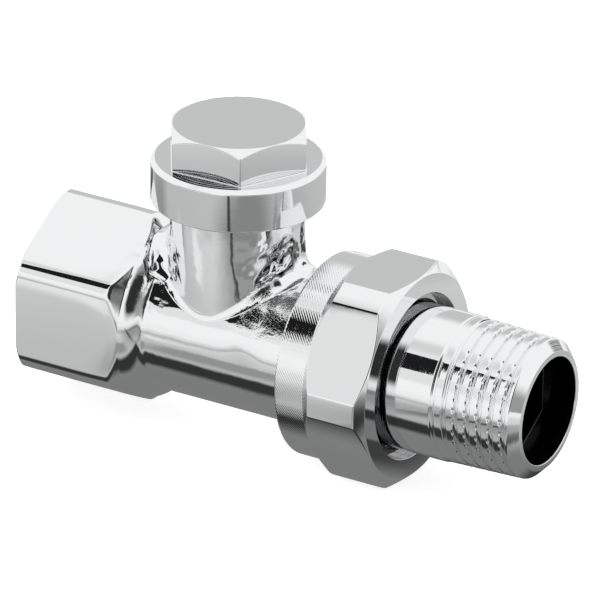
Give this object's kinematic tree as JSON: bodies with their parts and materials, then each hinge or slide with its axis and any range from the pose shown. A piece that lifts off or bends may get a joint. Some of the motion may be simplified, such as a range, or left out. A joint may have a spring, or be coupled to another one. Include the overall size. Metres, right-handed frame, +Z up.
{
  "type": "radiator return valve",
  "caption": "Straight radiator return valve with a female-threaded inlet, a screw cap over the shut-off spindle and a union tailpiece with a male pipe thread.",
  "frame": {"origin": "on the axis of the run, at the start of the inlet's full thread, 1 mm inside the mouth of the inlet", "axes": "+X along the run from the inlet to the tailpiece, +Z up the neck to the cap, +Y to the left when looking along +X"},
  "size_m": [0.0795, 0.0328, 0.0468],
  "materials": {
    "chrome_plated_brass": "polished chrome plate on brass",
    "brass": "turned, bare",
    "rubber": "moulded, satin",
    "fibre": "pressed fibre sheet"
  },
  "bodies": {
    "body": {"valve_body": "chrome_plated_brass", "bonnet": "brass", "bonnet_o_ring": "rubber", "upper_stem_o_ring": "rubber", "lower_stem_o_ring": "rubber"},
    "gasket": {"cap_gasket": "fibre"},
    "cap": {"cap": "chrome_plated_brass"},
    "washer": {"seat_washer": "rubber"},
    "spindle": {"shut_off_spindle": "brass"},
    "preset_ring": {"preset_o_ring": "rubber"},
    "preset": {"preset_screw": "brass"},
    "tail": {"tailpiece": "chrome_plated_brass", "tail_o_ring": "rubber"},
    "nut": {"union_nut": "chrome_plated_brass"}
  },
  "joints": [
    {"name": "cap_lift", "type": "slide", "parent": "body", "child": "gasket", "axis": [0, 0, 1], "range_m": [0, 0.0041]},
    {"name": "cap_turn", "type": "hinge", "parent": "gasket", "child": "cap", "pos_m": [0.028, 0, 0.026], "axis": [0, 0, 1], "range_deg": [0, 1440]},
    {"name": "spindle_lift", "type": "slide", "parent": "body", "child": "washer", "axis": [0, 0, 1], "range_m": [0, 0.0036]},
    {"name": "spindle_turn", "type": "hinge", "parent": "washer", "child": "spindle", "pos_m": [0.028, 0, 0.01], "axis": [0, 0, 1], "range_deg": [0, 1260]},
    {"name": "preset_lift", "type": "slide", "parent": "spindle", "child": "preset_ring", "axis": [0, 0, 1], "range_m": [0, 0.003]},
    {"name": "preset_turn", "type": "hinge", "parent": "preset_ring", "child": "preset", "pos_m": [0.028, 0, 0.01], "axis": [0, 0, 1], "range_deg": [0, 1485]},
    {"name": "union_travel", "type": "slide", "parent": "body", "child": "tail", "axis": [1, 0, 0], "range_m": [0, 0.0083]},
    {"name": "nut_turn", "type": "hinge", "parent": "tail", "child": "nut", "pos_m": [0.05, 0, 0], "axis": [1, 0, 0], "range_deg": [0, 1620]}
  ],
  "couplings": [
    {"joint": "cap_lift", "follows": "cap_turn", "m_per_rad": 0.00015915},
    {"joint": "spindle_lift", "follows": "spindle_turn", "m_per_rad": 0.00015915},
    {"joint": "preset_turn", "follows": "preset_lift", "rad_per_m": 8377.6},
    {"joint": "union_travel", "follows": "nut_turn", "m_per_rad": 0.00028871}
  ]
}
